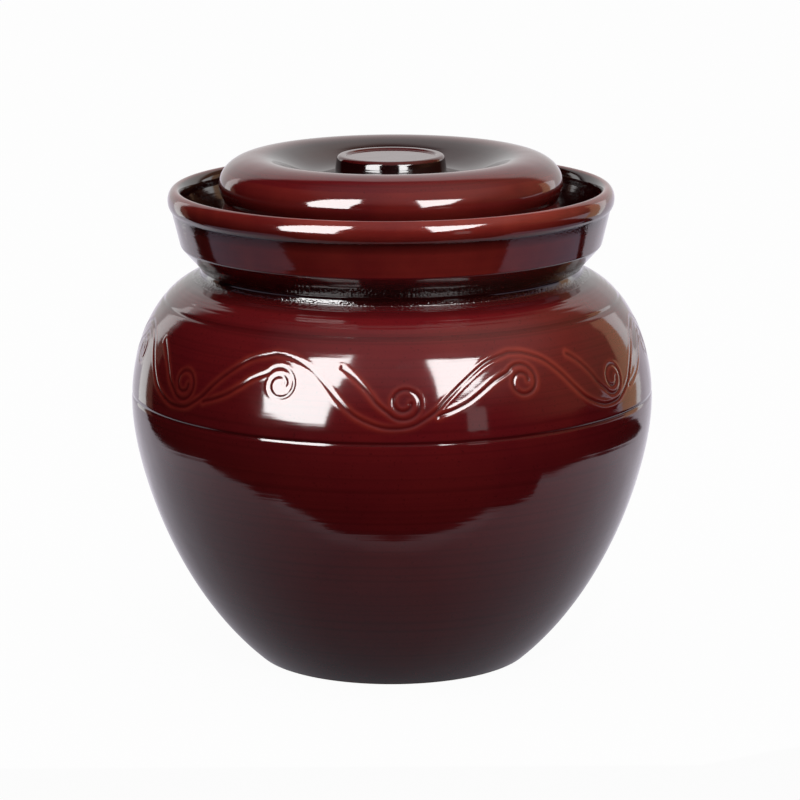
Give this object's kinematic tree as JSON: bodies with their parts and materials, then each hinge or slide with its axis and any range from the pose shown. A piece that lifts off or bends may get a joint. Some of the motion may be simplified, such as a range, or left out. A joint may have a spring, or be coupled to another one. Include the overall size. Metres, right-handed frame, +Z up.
{
  "type": "water seal pickle jar",
  "caption": "Round-bellied glazed stoneware pickle jar with a water channel round its neck, a hollow lid standing in that channel and a flat inner lid.",
  "frame": {"origin": "centre of the foot ring's flat face, on the jar's axis", "axes": "+Z up along the jar's axis; the jar is round, so +X and -Y (the side seen in the picture) are arbitrary"},
  "size_m": [0.2592, 0.2592, 0.252],
  "materials": {
    "brown_glaze": "gloss",
    "inner_lid_glaze": "gloss",
    "lid_glaze": "gloss"
  },
  "bodies": {
    "jar_body": {"jar": "brown_glaze"},
    "inner_lid_body": {"inner_lid": "inner_lid_glaze"},
    "outer_lid_body": {"outer_lid": "lid_glaze"}
  },
  "joints": [
    {"name": "outer_lid_lift", "type": "slide", "parent": "jar_body", "child": "outer_lid_body", "axis": [0, 0, 1], "range_m": [0, 0.12]},
    {"name": "inner_lid_lift", "type": "slide", "parent": "jar_body", "child": "inner_lid_body", "axis": [0, 0, 1], "range_m": [0, 0.048]}
  ],
  "couplings": [
    {"joint": "inner_lid_lift", "follows": "outer_lid_lift", "ratio": 0.4}
  ]
}
